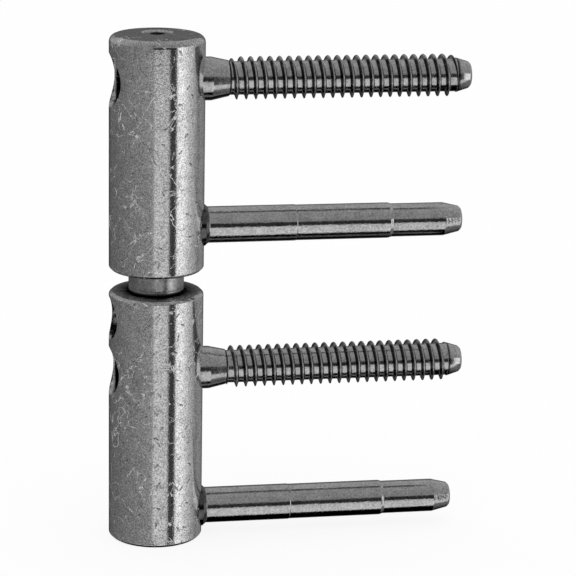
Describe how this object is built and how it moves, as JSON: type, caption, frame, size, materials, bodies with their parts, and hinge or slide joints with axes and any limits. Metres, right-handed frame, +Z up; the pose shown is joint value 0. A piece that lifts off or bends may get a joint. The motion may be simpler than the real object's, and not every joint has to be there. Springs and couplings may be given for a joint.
{
  "type": "drill-in hinge",
  "caption": "Adjustable drill-in door hinge: two round steel knuckles on a pin with a bearing sleeve, each with a threaded stem and a plain guide pin.",
  "frame": {"origin": "on the axis of the frame guide pin, where its plain shank leaves its collar", "axes": "+Z up along the hinge axis, +X along the four stems into the frame and the leaf"},
  "size_m": [0.0764, 0.02, 0.1093],
  "materials": {
    "knuckle_zinc": "satin zinc plating over turned steel",
    "guide_pin_steel": "plain zinc-plated cold-headed steel",
    "screw_stem_steel": "zinc-plated steel with a rolled thread",
    "hinge_pin_steel": "ground bare steel, lightly greased",
    "sleeve_steel": "fine turned steel, bright",
    "lock_screw_steel": "bright zinc-plated socket screw"
  },
  "bodies": {
    "frame_part": {"frame_knuckle": "knuckle_zinc", "frame_guide_pin": "guide_pin_steel", "hinge_pin": "hinge_pin_steel", "pin_lock_screw": "lock_screw_steel"},
    "frame_screw": {"frame_screw_stem": "screw_stem_steel"},
    "sleeve": {"bearing_sleeve": "sleeve_steel"},
    "leaf_part": {"leaf_knuckle": "knuckle_zinc", "leaf_guide_pin": "guide_pin_steel", "stem_lock_screw": "lock_screw_steel"},
    "leaf_screw": {"leaf_screw_stem": "screw_stem_steel"}
  },
  "joints": [
    {"name": "leaf_swing", "type": "hinge", "parent": "frame_part", "child": "sleeve", "pos_m": [-0.0108, 0, 0.0486], "axis": [0, 0, 1], "continuous": true},
    {"name": "leaf_lift", "type": "slide", "parent": "sleeve", "child": "leaf_part", "axis": [0, 0, 1], "range_m": [0, 0.034]},
    {"name": "frame_screw_turn", "type": "hinge", "parent": "frame_part", "child": "frame_screw", "pos_m": [-0.0108, 0, 0.0312], "axis": [1, 0, 0], "continuous": true},
    {"name": "leaf_screw_turn", "type": "hinge", "parent": "leaf_part", "child": "leaf_screw", "pos_m": [-0.0108, 0, 0.09375], "axis": [1, 0, 0], "continuous": true}
  ]
}
